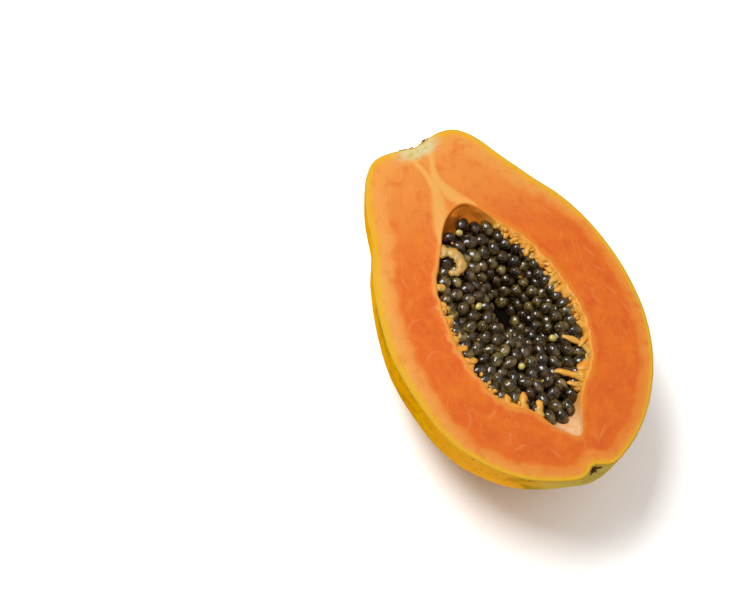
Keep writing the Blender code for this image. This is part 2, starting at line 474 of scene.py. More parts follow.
def skin_rings(turn):
    """The skin from its flat foot up to the bevel of the cut edge, with relief and the folds."""
    dips = (np.linspace(0, 1, SKIN_ROWS + 1)[:-1] ** EDGE_GATHER)[::-1] * math.pi / 2
    rings = []
    for dip in dips:
        direction = towards(turn, dip)
        points = skin_radius(direction)[:, None] * direction
        relief = 0.22 * MM * noise_at(points, 14 * MM) + 0.07 * MM * noise_at(points, 4 * MM, 5.0)
        to_blossom = points - BLOSSOM_DIMPLE[0]
        far = np.linalg.norm(to_blossom, axis=-1) / FOLD_REACH
        around = np.arctan2(to_blossom[:, 2], to_blossom[:, 0])
        folds = -FOLD_DEPTH * np.exp(-far**2) * np.cos(LOBES * around)
        points += (relief + folds)[:, None] * direction
        points[:, 2] = np.clip(points[:, 2], FOOT, -EDGE_BEVEL)
        rings.append(points)
    return np.array(rings)


def cut_face(edge, rim):
    """Rings from the skin's edge in to the cavity's rim, and what the flesh's material is told of them."""
    shares = np.linspace(0, 1, CUT_ROWS)[:, None, None]
    cut = edge * (1 - shares) + rim * shares
    from_skin = nearest(cut, edge)
    from_rim = nearest(cut, rim)
    strand = np.zeros(cut.shape[:2])
    for points in STRANDS:
        line = dense(points)
        strand = np.maximum(strand, 1.3 - nearest(cut, line, line[:, 2]))
    vein = np.zeros(cut.shape[:2])
    taper = VEIN_HALF_WIDTH * np.sin(np.linspace(0.15, math.pi - 0.15, VEIN_POINTS))
    for arc in VEINS:
        line = bend(*(np.array((*point, 0)) * MM for point in arc), VEIN_POINTS)
        vein = np.maximum(vein, 1 - nearest(cut, line, taper))
    stem = np.exp(-(((cut[..., 0] - STEM_MIDDLE) / STEM_HALF_WIDTH) ** 4)) * (cut[..., 1] > 0)
    lift = 0.12 * MM * noise_at(cut, 9 * MM, 2.0) + 0.05 * MM * noise_at(cut, 2.6 * MM, 4.0)
    lift += 0.15 * MM * np.clip(strand, 0, 1) + 0.25 * MM * np.exp(-((from_rim / (2.2 * MM)) ** 2))
    cut[..., 2] = lift * np.clip(from_skin / (2 * MM), 0, 1)
    return cut, from_skin, from_rim, strand, vein, stem


def lip_rings(turn, rim_radius, rim_height):
    """The rounded lip over which the cut face turns down into the cavity."""
    level = towards(turn, 0.0)
    rings = []
    for angle in np.linspace(0, math.pi / 2, LIP_ROWS + 1)[1:]:
        depth = LIP_RADIUS * (1 - math.cos(angle))
        out = rim_radius + LIP_RADIUS * (1 - math.sin(angle)) - shelf_reach(turn) * shelf_share(depth)
        points = CAVITY_CENTRE + out[:, None] * level
        points[:, 2] = rim_height * math.cos(angle) - depth
        rings.append(points)
    return np.array(rings)


def wall_rings(turn, rim_radius):
    """The cavity's wall from the lip down, torn near the rim and smoother below."""
    first_dip = LIP_RADIUS / rim_radius
    rings = []
    for share in np.linspace(0, 1, WALL_ROWS + 2)[1:-1]:
        dip = first_dip + (math.pi / 2 - first_dip) * share**FLOOR_GATHER
        direction = towards(turn, dip)
        radius = cavity_radius(direction)
        depth = radius * np.sin(dip)
        radius = radius + rim_offset(turn) * np.exp(-depth / (5 * MM))
        radius = radius - shelf_reach(turn) * shelf_share(depth)
        points = radius[:, None] * direction
        points += (0.3 * MM * noise_at(points, 3.5 * MM, 6.0))[:, None] * direction
        rings.append(CAVITY_CENTRE + points)
    return np.array(rings)


def spread(values, before, after):
    """The values of the cut face's rings, and one value each for all that comes before and after them."""
    first = np.full(1 + SKIN_ROWS * COLUMNS, before)
    last = np.full((LIP_ROWS + WALL_ROWS) * COLUMNS + 1, after)
    return np.concatenate([first, values.ravel(), last])


def make_flesh(materials):
    turn = np.linspace(-math.pi, math.pi, COLUMNS, endpoint=False)
    level = towards(turn, 0.0)
    skin = skin_rings(turn)
    edge = skin[-1] - EDGE_BEVEL * level
    edge[:, 2] = 0
    rim_radius = cavity_ring(turn) + rim_offset(turn)
    rim = CAVITY_CENTRE + (rim_radius + LIP_RADIUS)[:, None] * level
    cut, from_skin, from_rim, strand, vein, stem = cut_face(edge, rim)
    lip = lip_rings(turn, rim_radius, cut[-1, :, 2])
    rows = np.concatenate([skin, cut, lip, wall_rings(turn, rim_radius)])

    foot = np.array((0, 0, FOOT))
    straight_down = towards(np.zeros(1), np.full(1, math.pi / 2))
    floor = CAVITY_CENTRE - np.array((0, 0, cavity_radius(straight_down)[0]))
    vertices, faces = lofted(rows, foot, floor)
    band = np.arange(-1, len(rows))  # the row before each band of faces: skin, then cut face, then lining
    kinds = np.where(band < SKIN_ROWS - 1, 0, np.where(band < SKIN_ROWS + CUT_ROWS + 1, 1, 2))
    far = 40  # mm, past any distance that the material tells apart
    piece = make_piece(
        "papaya_flesh", vertices, faces, materials, "flesh", np.repeat(kinds, COLUMNS),
        from_skin=spread(from_skin / MM, 0, far),
        from_rim=spread(from_rim / MM, far, 0),
        strand=spread(strand, 0, 0),
        vein=spread(vein, 0, 0),
        stem=spread(stem, 0, 0),
        round_x=np.concatenate([[0], np.tile(np.sin(turn), len(rows)), [0]]),
        round_y=np.concatenate([[0], np.tile(np.cos(turn), len(rows)), [0]]),
    )
    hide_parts("flesh")
    return piece


def skin_paint():
    paint = Paint("papaya_skin", IOR=1.45)
    golden = paint.ramp(
        paint.noise(26 * MM, 2.0),
        (0.30, seen(240, 182, 32, SKIN_LIGHT)), (0.50, seen(238, 168, 18, SKIN_LIGHT)),
        (0.70, seen(222, 152, 26, SKIN_LIGHT)),
    )
    mottle = paint.steps(paint.noise(5 * MM, 5.0), 0.45, 0.75)
    base = paint.mix(mottle, golden, seen(200, 138, 34, SKIN_LIGHT))
    length = paint.along("Y")
    # painted shade: the skin is painted brighter towards the blossom end, so that up the left side it stays
    # darker, as if in the shade of a whole fruit lying beside it
    base = paint.mix(paint.steps(length, -25 * MM, -68 * MM), base, seen(216, 152, 52, SHADE_LIGHT))
    patches = paint.noise(22 * MM, 4.0, 0.4, paint.stretched(paint.place(), (1, 0.6, 1)))
    green = paint.times(paint.steps(patches, 0.53, 0.68), 0.75)
    base = paint.mix(green, base, seen(160, 146, 40, SKIN_LIGHT))
    blossom = paint.steps(length, -73 * MM, -81 * MM)
    stem = paint.steps(length, 74 * MM, 82 * MM)
    ends = paint.math("MAXIMUM", paint.times(blossom, 0.85), paint.times(stem, 0.8))
    base = paint.mix(ends, base, seen(184, 168, 84, ENDS_LIGHT))
    freckles = paint.steps(paint.cells(2.6 * MM), 0.22, 0.10)
    freckle_zone = paint.steps(paint.noise(13 * MM, 3.0), 0.48, 0.62)
    base = paint.mix(paint.times(freckles, freckle_zone), base, seen(104, 92, 24, SKIN_LIGHT))
    scuffs = paint.steps(paint.noise(3.2 * MM, 6.0, 0.8), 0.66, 0.72)
    base = paint.mix(paint.times(scuffs, 0.6), base, seen(122, 84, 34, SKIN_LIGHT))
    height = paint.along("Z")
    along_edge = paint.round_place(40 * MM, paint.times(height, 2.0))
    dashes = paint.steps(paint.noise(3 * MM, 4.0, 0.6, along_edge), 0.60, 0.68)
    near_edge = paint.steps(height, -12 * MM, -4 * MM, 0.0, 0.5)
    base = paint.mix(paint.times(dashes, near_edge), base, seen(150, 120, 22, SKIN_LIGHT))
    paint.set("Base Color", base)
    pores = paint.times(paint.cells(0.8 * MM), 0.5)
    relief = paint.math("ADD", pores, paint.noise(3 * MM, 5.0))
    paint.relief(relief, 0.10 * MM)
    paint.rough(0.30, 0.48, 7 * MM, 4.0)
    facing = paint.node("LayerWeight", "Facing", Blend=0.5)  # the gloss fades where the skin turns away
    paint.set("Specular IOR Level", paint.steps(facing, 0.15, 0.5, 0.4, 0.0))
    return paint.material


def flesh_paint():
    paint = Paint("papaya_cut_flesh", IOR=1.36, Specular_IOR_Level=0.17, Subsurface_Weight=0.2, **FLESH_GLOW)
    from_skin = paint.attribute("from_skin")
    from_rim = paint.attribute("from_rim")
    across = paint.along("X")
    length = paint.along("Y")
    # the pale band under the skin is wider and paler round the stem, and on the left, where it is partly
    # painted light: that side is painted paler as if the lamps fell on it more brightly
    towards_left = paint.steps(across, 25 * MM, -35 * MM)
    left = paint.times(towards_left, paint.steps(length, -65 * MM, 10 * MM, 0.35, 1.0))
    shoulders = paint.steps(length, 10 * MM, 62 * MM)
    paleness_and_light = paint.math("MAXIMUM", left, shoulders)
    band = paint.steps(paleness_and_light, 0.0, 1.0, 7.0, 11.5)  # its width in mm
    wander = paint.times(paint.math("SUBTRACT", paint.noise(8 * MM, 4.0), 0.5), 5.0)
    depth = paint.math("DIVIDE", paint.math("ADD", from_skin, wander), band)
    pale_band = paint.ramp(
        depth, (0.10, seen(248, 190, 72)), (0.35, seen(250, 176, 88)), (0.70, seen(248, 156, 78)),
        (0.90, seen(242, 120, 46)), (1.00, seen(238, 102, 28)),
    )
    deep_band = paint.ramp(
        depth, (0.10, seen(246, 164, 58)), (0.40, seen(246, 146, 62)), (0.80, seen(242, 130, 52)),
        (1.00, seen(236, 104, 28)),
    )
    band_colour = paint.mix(paleness_and_light, deep_band, pale_band)
    vein_place = paint.round_place(30 * MM, paint.times(from_skin, MM))
    # pale veins: short lengths of a noise's contour lines
    drawn = []
    for pitch, scale, fineness in ((15 * MM, (0.8, 0.8, 1.0), 0.020), (9 * MM, (1.1, 1.1, 1.0), 0.028)):
        height = paint.noise(pitch, 0.0, 0.8, paint.stretched(vein_place, scale))
        line = paint.steps(paint.math("ABSOLUTE", paint.math("SUBTRACT", height, 0.5)), fineness, 0.0)
        zone = paint.noise(pitch * 0.7, 1.0, 0.0, paint.stretched(vein_place, (1.2, 1.2, 1)))
        drawn.append(paint.times(line, paint.steps(zone, 0.46, 0.60)))
    vein_share = paint.math("MAXIMUM", *drawn)
    clouds = paint.noise(11 * MM, 3.0, 0.3)
    body = paint.ramp(
        clouds, (0.30, seen(226, 84, 8)), (0.50, seen(235, 100, 20)), (0.72, seen(244, 116, 34)),
    )
    streaks = paint.steps(paint.noise(2.2 * MM, 4.0, 0.5, vein_place), 0.35, 0.75)
    body = paint.mix(paint.times(streaks, 0.4), body, seen(248, 126, 52))
    colour = paint.mix(paint.steps(depth, 0.70, 1.40), band_colour, body)
    light_top = paint.times(paint.steps(length, 15 * MM, 74 * MM), 0.75)
    colour = paint.mix(light_top, colour, seen(248, 160, 78))
    blots = paint.steps(paint.noise(6 * MM, 3.0, 0.3), 0.48, 0.72)
    colour = paint.mix(paint.times(blots, 0.4), colour, seen(226, 84, 10))
    colour = paint.mix(paint.times(vein_share, 0.28), colour, seen(252, 152, 84))
    rim_width = paint.steps(paint.noise(5 * MM, 3.0), 0.3, 0.7, 1.2, 3.4)
    rim_share = paint.steps(paint.math("DIVIDE", from_rim, rim_width), 1.0, 0.2)
    # painted light in part: the rim is painted paler on the left, the same side that is painted as more
    # brightly lit
    rim_colour = paint.mix(left, seen(242, 134, 46), seen(253, 170, 84))
    colour = paint.mix(paint.times(rim_share, 0.85), colour, rim_colour)
    strand = paint.steps(paint.attribute("strand"), -0.3, 0.9, 0.0, 0.8)
    colour = paint.mix(strand, colour, seen(251, 190, 104))
    drawn_vein = paint.steps(paint.attribute("vein"), 0.0, 0.9, 0.0, 0.26)
    colour = paint.mix(drawn_vein, colour, seen(254, 172, 110))
    wandering = paint.math("ADD", from_skin, paint.times(wander, 0.3))
    golden = paint.steps(wandering, paint.steps(paleness_and_light, 0.0, 1.0, 2.0, 4.0), 0.7)
    colour = paint.mix(paint.times(golden, 0.8), colour, seen(246, 190, 46))
    stem = paint.times(paint.attribute("stem"), paint.steps(from_skin, 7.5, 3.0))
    stem_clouds = paint.steps(paint.noise(3.5 * MM, 2.0), 0.4, 0.75)
    colour = paint.mix(stem, colour, paint.mix(stem_clouds, seen(234, 222, 172), seen(216, 192, 100)))
    peel = paint.steps(from_skin, 0.8, 0.2)
    colour = paint.mix(peel, colour, seen(228, 178, 60))
    paint.set("Base Color", colour)
    swells = paint.times(paint.noise(5 * MM, 3.0), 1.5)
    grain = paint.math("ADD", paint.noise(1.3 * MM, 5.0), swells)
    grain = paint.math("ADD", grain, paint.times(vein_share, 0.5))
    paint.relief(grain, 0.12 * MM)
    paint.rough(0.30, 0.55, 4 * MM, 5.0)
    return paint.material


def lining_paint():
    paint = Paint("papaya_cavity_wall", IOR=1.36, Specular_IOR_Level=0.2, Subsurface_Weight=0.1, **FLESH_GLOW)
    length = paint.along("Y")
    deep = paint.ramp(
        paint.steps(length, -64 * MM, 50 * MM),
        (0.0, seen(250, 200, 150)), (0.03, seen(244, 186, 130)), (0.10, seen(230, 140, 46)),
        (0.8, seen(230, 130, 40)), (1.0, seen(238, 134, 52)),
    )
    # the rim is paler, but for both ends
    rim = paint.steps(paint.along("Z"), -5 * MM, -1.2 * MM)
    rim = paint.times(rim, paint.steps(length, 46 * MM, 36 * MM))
    rim = paint.times(rim, paint.steps(length, -58 * MM, -52 * MM))
    colour = paint.mix(rim, deep, seen(252, 174, 76))
    streak = paint.noise(1.8 * MM, 5.0, 0.6)
    streaks = paint.steps(streak, 0.4, 0.8, 0.0, 0.6)
    paint.set("Base Color", paint.mix(streaks, colour, seen(240, 160, 62)))
    paint.relief(streak, 0.25 * MM)
    paint.set("Roughness", paint.steps(streak, 0.3, 0.7, 0.3, 0.5))
    return paint.material


# ---- seeds
SEED_COUNT = 335
SEED_HALF_SIZES = np.array((2.8, 2.6, 3.6)) * MM
SEED_SPACING = 5.9 * MM
SETTLING_STEPS = 260
SETTLING_PUSH, SETTLING_RISE = 0.35, 0.12 * MM  # how fast they part and rise, per step
FIRST_REACH, FIRST_DEPTHS = (28 * MM, 49 * MM), (3, 20)  # where they start, the depths in mm
PAINTED_GLOW_SIDE = np.array((0.5, -0.85, 0.15))  # painted light: most seeds are painted paler on this side, away from the key lamp, as light shining through their clear film would glow
PALE_PLACES = (  # unripe seeds on the cut, in mm
    (-0.5, 37.9), (-2.1, -25.6), (12.9, -20.9), (-20.1, -18.3), (-7.6, 4.7),
)
PALE_SHARES, PALE_LIFT = (0.54, 0.54, 0.5), 1.6 * MM


def settle_seeds(rng):
    """Centres of the seeds, seen from the cavity's centre.

    They are pushed apart, held in the cavity, and drawn up against their uneven top.
    """
    room = SEED_HALF_SIZES[0] + 0.1 * MM
    across = rng.uniform(-1, 1, (SEED_COUNT, 2)) * FIRST_REACH
    points = np.concatenate([across, -rng.uniform(*FIRST_DEPTHS, (SEED_COUNT, 1)) * MM], axis=1)
    for step in range(SETTLING_STEPS):
        apart = points[:, None] - points[None]
        gap = np.linalg.norm(apart, axis=-1) + np.eye(SEED_COUNT)
        push = np.clip(SEED_SPACING - gap, 0, None) * (1 - np.eye(SEED_COUNT)) / gap
        points += SETTLING_PUSH * (apart * push[..., None]).sum(axis=1)
        outward = 2 * (points[:, :2] - HOLLOW_CENTRE) / HOLLOW_SIZES**2
        slope = HOLLOW_DEPTH * hollow_share(points[:, :2])[:, None] * outward
        steep = np.sqrt(1 + (slope**2).sum(axis=1))
        points += SETTLING_RISE * np.column_stack([-slope, np.ones(SEED_COUNT)]) / steep[:, None]
        above = points[:, 2] - (seed_top(points[:, :2]) - room * steep)
        out = np.clip(above, 0, None) / steep**2
        points[:, 2] -= out
        points[:, :2] += out[:, None] * slope
        radius = np.linalg.norm(points, axis=1)
        direction = points / radius[:, None]
        most = np.minimum(cavity_radius(direction), SEED_REACH) - room
        points *= np.minimum(1, most / radius)[:, None]
        points[:, 2] = np.minimum(points[:, 2], -room)
    return points


def make_seeds(rng, ripe_material, pale_material):
    centres = settle_seeds(rng)
    shape, faces = egg()
    pale = set()
    for place in PALE_PLACES:
        apart = np.hypot(*(centres[:, :2] + CAVITY_CENTRE[:2] - np.array(place) * MM).T)
        pale.add(int(np.argmin(apart - 0.6 * centres[:, 2])))
    ripe_solids, pale_solids, tones, films = [], [], [], []
    for number, centre in enumerate(centres):
        inward = np.array((*HOLLOW_CENTRE * (1, 0.4), -4 * MM)) + (0, 0.6 * centre[1], 0) - centre
        axis = inward / np.linalg.norm(inward) + rng.normal(size=3) * (0.5, 0.5, 0.3)
        half_sizes = SEED_HALF_SIZES * rng.uniform(0.9, 1.08, 3)
        if number in pale:
            half_sizes = half_sizes * PALE_SHARES
        rotation = turned_to(axis, rng.uniform(0, 6.28))
        points = lump(shape, half_sizes, rotation, 0.05, 1.5 * MM, number * 3.7)
        place = centre + CAVITY_CENTRE
        if number in pale:
            pale_solids.append((points + place + (0, 0, PALE_LIFT), faces))
        else:
            ripe_solids.append((points + place, faces))
            tones.append(rng.uniform())
            # painted light: the side of each seed that is painted paler, as a glow through its clear film
            glow_side = PAINTED_GLOW_SIDE + rng.normal(size=3) * 0.35
            lengths = np.linalg.norm(points, axis=1) * np.linalg.norm(glow_side)
            films.append(points @ glow_side / lengths)
    vertices, sides, owners = joined(ripe_solids)
    seeds = make_piece(
        "papaya_seeds", vertices, sides, [ripe_material], "seeds",
        tone=np.array(tones)[owners], film=np.concatenate(films),
    )
    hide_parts("seeds")
    vertices, sides, owners = joined(pale_solids)
    make_piece("papaya_unripe_seeds", vertices, sides, [pale_material], "seeds")
    return centres


def seed_paint():
    paint = Paint(
        "papaya_seed", IOR=1.3, Specular_IOR_Level=0.15, Specular_Tint=srgb(255, 232, 196),
        Coat_Weight=0.8, Coat_Roughness=0.02, Coat_IOR=1.55,
    )
    tone = paint.attribute("tone")
    crackle = paint.cells(1.2 * MM, "DISTANCE_TO_EDGE")
    cloud = paint.noise(2.4 * MM, 4.0)
    dark = paint.ramp(tone, (0.0, srgb(14, 7, 2)), (0.5, srgb(21, 15, 4)), (1.0, srgb(36, 26, 8)))
    light = paint.ramp(tone, (0.0, srgb(64, 40, 20)), (0.6, srgb(84, 65, 30)), (1.0, srgb(114, 95, 46)))
    blotches = paint.times(paint.steps(cloud, 0.42, 0.62), paint.steps(crackle, 0.22, 0.02, 0.35, 1.0))
    # painted light: a paler olive painted on the side away from the key lamp, as light glowing through the
    # clear film
    film = paint.steps(paint.attribute("film"), 0.45, 1.0, 0.0, 0.85)
    filmy = paint.ramp(tone, (0.0, srgb(84, 60, 36)), (0.6, srgb(104, 84, 46)), (1.0, srgb(134, 114, 64)))
    paint.set("Base Color", paint.mix(film, paint.mix(blotches, dark, light), filmy))
    wrinkles = paint.math("ADD", paint.steps(crackle, 0.0, 0.3), paint.noise(0.9 * MM, 4.0))
    paint.relief(wrinkles, 0.16 * MM)
    paint.relief(paint.noise(1.3 * MM, 2.0), 0.2 * MM, "Coat Normal")
    paint.set("Roughness", paint.steps(cloud, 0.35, 0.7, 0.30, 0.5))
    return paint.material


def pale_seed_paint():
    paint = Paint(
        "papaya_unripe_seed", IOR=1.4, Coat_Weight=0.7, Coat_Roughness=0.12,
        Subsurface_Weight=0.2, Subsurface_Radius=(1.0 * MM, 0.8 * MM, 0.3 * MM),
    )
    paint.set("Base Color", paint.mix(paint.noise(1.5 * MM), seen(232, 214, 120), seen(206, 184, 84)))
    paint.relief(paint.noise(0.8 * MM), 0.05 * MM)
    paint.rough(0.3, 0.5, 1.2 * MM)
    return paint.material


# ---- the bed under the seeds
BED_COLUMNS, BED_ROWS = 72, 26
BED_DROP = 12 * MM  # under the uneven top of the seeds
BED_START = 0.12  # of the way from level to straight down
BED_GAP, BED_SKIN = 0.7 * MM, 0.6 * MM
BED_HALVINGS = 14


def make_bed(material):
    """Fills the cavity up to a surface under the first seeds. Above that it is a thin skin on the wall."""
    turn = np.linspace(-math.pi, math.pi, BED_COLUMNS, endpoint=False)
    outer_rows, inner_rows = [], []
    for share in np.linspace(BED_START, 1, BED_ROWS, endpoint=False):
        dip = np.full(BED_COLUMNS, share * math.pi / 2)
        direction = towards(turn, dip)
        outer = np.minimum(cavity_radius(direction), SEED_REACH) - BED_GAP
        near, far = np.zeros(BED_COLUMNS), outer - BED_SKIN
        for halving in range(BED_HALVINGS):
            middle = (near + far) / 2
            place = middle[:, None] * direction
            inside = place[:, 2] < seed_top(place[:, :2]) - BED_DROP
            far = np.where(inside, middle, far)
            near = np.where(inside, near, middle)
        outer_rows.append(CAVITY_CENTRE + outer[:, None] * direction)
        inner_rows.append(CAVITY_CENTRE + far[:, None] * direction)
    bottom, hollow = outer_rows[-1].mean(axis=0), inner_rows[-1].mean(axis=0)
    vertices, faces = lofted(outer_rows[::-1] + inner_rows, bottom, hollow)
    return make_piece("papaya_seed_bed", vertices, faces, [material], "seeds")


def bed_paint():
    paint = Paint("papaya_seed_bed", IOR=1.4, Specular_IOR_Level=0.05)
    # painted shade: the bed is painted nearly black, darker than the seeds, as the shade in the gaps between
    # them
    paint.set("Base Color", paint.mix(paint.noise(4 * MM), srgb(5, 3, 2), srgb(14, 9, 4)))
    paint.relief(paint.noise(1.5 * MM, 5.0), 0.3 * MM)
    paint.rough(0.35, 0.6, 2 * MM)
    return paint.material


# ---- threads that held the seeds
FLAP = (  # the curled flap on the left: (half width, place) in mm
    (3.4, (-15.0, 33.6, -1.6)), (2.9, (-11.8, 31.8, -0.4)), (2.1, (-8.6, 30.0, 0.2)),
    (2.2, (-6.6, 26.9, 0.3)), (2.6, (-6.3, 23.6, 0.0)), (2.5, (-8.0, 21.2, -0.4)),
    (1.9, (-10.6, 20.6, -1.0)), (1.1, (-12.8, 22.0, -1.8)),
)
FLAP_POINTS = 24
FINGERS = (  # the largest tufts: (half width, base, bend, tip) in mm
    (1.5, (19.5, -44.0, -1.8), (13.6, -38.6, 0.2), (7.9, -35.6, -1.2)),
    (1.2, (17.0, -46.0, -2.0), (13.4, -44.6, -0.6), (10.9, -42.0, -1.6)),
    (2.5, (21.5, -43.0, -2.4), (18.5, -41.5, -1.2), (15.6, -41.0, -2.0)),
    (2.3, (24.5, -38.5, -2.4), (21.5, -38.6, -1.0), (18.6, -38.6, -2.0)),
    (1.3, (28.0, -35.0, -1.8), (26.4, -28.5, -0.2), (19.4, -22.5, -1.2)),
    (1.3, (32.0, -26.0, -1.8), (28.0, -27.0, 0.0), (24.0, -29.5, -0.8)),
    (1.5, (-19.9, -45.0, -2.2), (-18.2, -41.5, -0.4), (-16.7, -37.3, -1.4)),
    (1.9, (-14.0, -48.0, -2.2), (-12.2, -43.5, -0.4), (-9.3, -39.2, -1.4)),
    (1.5, (-7.8, -50.5, -2.2), (-6.2, -47.4, -0.4), (-4.6, -44.7, -1.6)),
    (1.6, (-22.6, 18.0, -1.8), (-20.6, 16.9, -0.6), (-18.6, 15.8, -1.6)),
    (1.7, (-25.6, 10.6, -1.8), (-23.8, 9.6, -0.6), (-21.8, 8.2, -1.8)),
    (1.5, (-27.0, 3.4, -1.8), (-25.0, 2.0, -0.6), (-22.6, 0.4, -1.8)),
    (1.4, (-27.6, -5.0, -1.8), (-26.0, -6.4, -0.6), (-24.0, -8.0, -1.8)),
    (1.6, (-27.4, -11.6, -1.8), (-25.2, -12.0, -0.6), (-22.6, -12.2, -1.8)),
    (1.3, (-27.0, -17.0, -1.8), (-24.6, -18.2, -0.4), (-21.4, -19.2, -1.2)),
    (1.2, (-26.2, -31.6, -1.8), (-24.4, -30.8, -0.6), (-22.2, -30.0, -1.4)),
    (1.5, (33.0, -2.5, -2.2), (30.0, -2.6, -0.5), (27.4, -2.0, -2.4)),
    (1.4, (32.0, 3.0, -2.2), (29.4, 2.8, -0.5), (26.4, 1.0, -2.6)),
    (1.5, (27.5, 21.5, -2.4), (25.4, 20.0, -0.6), (23.6, 17.6, -2.6)),
)
TAPER = np.array((1.7, 1.35, 1.15, 1.04, 0.98, 0.95, 0.94, 0.94, 0.84, 0.55))  # of a tuft, root to tip
THREAD_COUNT, THREAD_DEPTH = 44, 6 * MM


def tuft(base, middle, tip, half_width, shift):
    """A flattened, uneven finger of soft tissue."""
    path = bend(base, middle, tip, len(TAPER))
    return tube(path, half_width * TAPER, roughness=0.7, shift=shift, flatness=0.65)


def rim_at(turn):
    """The level direction at one angle, and the cavity's radius there."""
    angle = np.array([turn])
    return towards(angle, 0.0)[0], cavity_ring(angle)[0]


def flap():
    """The curled flap on the left, and its tone."""
    half_widths, places = zip(*FLAP)
    even, given = np.linspace(0, 1, FLAP_POINTS), np.linspace(0, 1, len(FLAP))
    radii = np.interp(even, given, half_widths) * MM
    path = dense(places, FLAP_POINTS)
    return tube(path, radii, sides=14, roughness=0.8, shift=1.0, flatness=0.45), 0.9


def large_tufts(rng):
    """The listed ones, each with its tone."""
    for half_width, *places in FINGERS:
        base, middle, tip = (np.array(point) * MM for point in places)
        tone = rng.uniform(0.2, 0.6)
        yield tuft(base, middle, tip, half_width * MM, places[0][1]), tone


def small_tufts(rng):
    """Short ones all along the torn rim."""
    right, left = rng.uniform(0.5, 2.95, 34), rng.uniform(-2.95, -0.95, 20)
    for turn in np.concatenate([right, left]):
        level, radius = rim_at(turn)
        base = CAVITY_CENTRE + level * (radius + LIP_RADIUS) - (0, 0, rng.uniform(1.2, 2.6) * MM)
        reach = rng.uniform(1.0, 4.2) * MM
        side = np.array((level[1], -level[0], 0)) * rng.normal() * 1.8 * MM
        tip = base - level * reach + side - (0, 0, rng.uniform(-0.2, 1.8) * MM)
        middle = (base + tip) / 2 + (0, 0, rng.uniform(0.0, 0.8) * MM) + side * 0.5
        half_width = rng.uniform(0.6, 1.3) * MM
        yield tuft(base, middle, tip, half_width, turn), rng.uniform(0.2, 0.7)


def pulp_crumbs(rng):
    """Crumbs of pulp on the torn rim, most of them on the right."""
    shape, faces = egg()
    upper, lower = rng.uniform(0.35, 1.6, 50), rng.uniform(1.6, 2.9, 32)
    left = rng.uniform(-2.9, -1.1, 20)
    for turn in np.concatenate([upper, lower, left]):
        level, radius = rim_at(turn)
        inward = rng.uniform(0.8, 3.8) * MM
        place = CAVITY_CENTRE + level * (radius - inward)
        place = place - (0, 0, 1.1 * MM + 0.4 * inward + rng.uniform(0, 0.8) * MM)
        half_sizes = rng.uniform(0.6, 1.5, 3) * (1, 1, 1.7) * MM
        points = lump(shape, half_sizes, turned_to(rng.normal(size=3)), 0.35, 2.2 * MM, turn * 7)
        yield (points + place, faces), rng.uniform(0.2, 0.7)


def seed_threads(rng, centres):
    """Threads between the uppermost seeds, few of them in the hollow."""
    top = centres[centres[:, 2] > seed_top(centres[:, :2]) - THREAD_DEPTH]
    order = rng.permutation(len(top))
    chosen = [i for i in order if rng.uniform() > 1.4 * hollow_share(top[i, :2]) ** 0.5][:THREAD_COUNT]
    for i in chosen:
        gap = np.linalg.norm(top - top[i], axis=1)
        gap[i] = 1  # farther than any seed, so that it isn't its own neighbour
        between = CAVITY_CENTRE + (top[i] + top[np.argmin(gap)]) / 2
        heading = rng.normal(size=3) * (1, 1, 0.3)
        heading /= np.linalg.norm(heading)
        base = between + heading * 1.5 * MM - (0, 0, 3 * MM)
        tip = between - heading * 1.4 * MM + (0, 0, rng.uniform(0.6, 1.8) * MM)
        middle = (base + tip) / 2 + rng.normal(size=3) * 1.0 * MM
        half_width = rng.uniform(0.35, 0.75) * MM
        yield tuft(base, middle, tip, half_width, float(i)), rng.uniform()


def make_threads(rng, centres, material):
    made = [flap(), *large_tufts(rng), *small_tufts(rng), *pulp_crumbs(rng), *seed_threads(rng, centres)]
    solids, tones = zip(*made)
    vertices, faces, owners = joined(solids)
    # they come out from under the lip of the rim
    from_centre = vertices - CAVITY_CENTRE
    around = np.arctan2(*from_centre[:, :2].T)
    past_rim = np.hypot(*from_centre[:, :2].T) - cavity_ring(around) - rim_offset(around)
    highest = np.interp(past_rim, (-2.0 * MM, 0.0), (1.5 * MM, -0.7 * MM))
    vertices[:, 2] = np.minimum(vertices[:, 2], highest)
    tone = np.array(tones)[owners] + 0.45 * noise_at(vertices, 2.6 * MM, 9.0)
    return make_piece("papaya_seed_threads", vertices, faces, [material], "flesh", tone=tone)


def thread_paint():
    paint = Paint(
        "papaya_seed_thread", IOR=1.36, Subsurface_Weight=0.2,
        Subsurface_Scale=1.0, Subsurface_Radius=(1.5 * MM, 0.8 * MM, 0.3 * MM),
    )
    colour = paint.ramp(
        paint.attribute("tone"), (0.0, seen(244, 152, 48)), (0.45, seen(250, 184, 78)),
        (0.75, seen(214, 172, 92)), (1.0, seen(186, 150, 84)),
    )
    speckles = paint.steps(paint.noise(1.6 * MM), 0.35, 0.8, 0.0, 0.4)
    paint.set("Base Color", paint.mix(speckles, colour, seen(242, 160, 54)))
    paint.relief(paint.noise(0.7 * MM, 4.0), 0.12 * MM)
    paint.rough(0.28, 0.45, 1.5 * MM)
    return paint.material


# ---- the two ends
STEM_LENGTH = 83  # mm from the fruit's centre to the stem end
SCAR_MIDDLE = np.array((2.6, -79.0, -3.0))  # mm
SCAR_TOP = -0.7  # mm, just under the cut
SCAR_ARMS = (0.2, 1.5, 2.7, 4.0, 5.3)  # their angles in radians; the first is the longest
SCAR_TAPER = np.array((0.7, 0.65, 0.6, 0.5, 0.4, 0.3, 0.15)) * MM


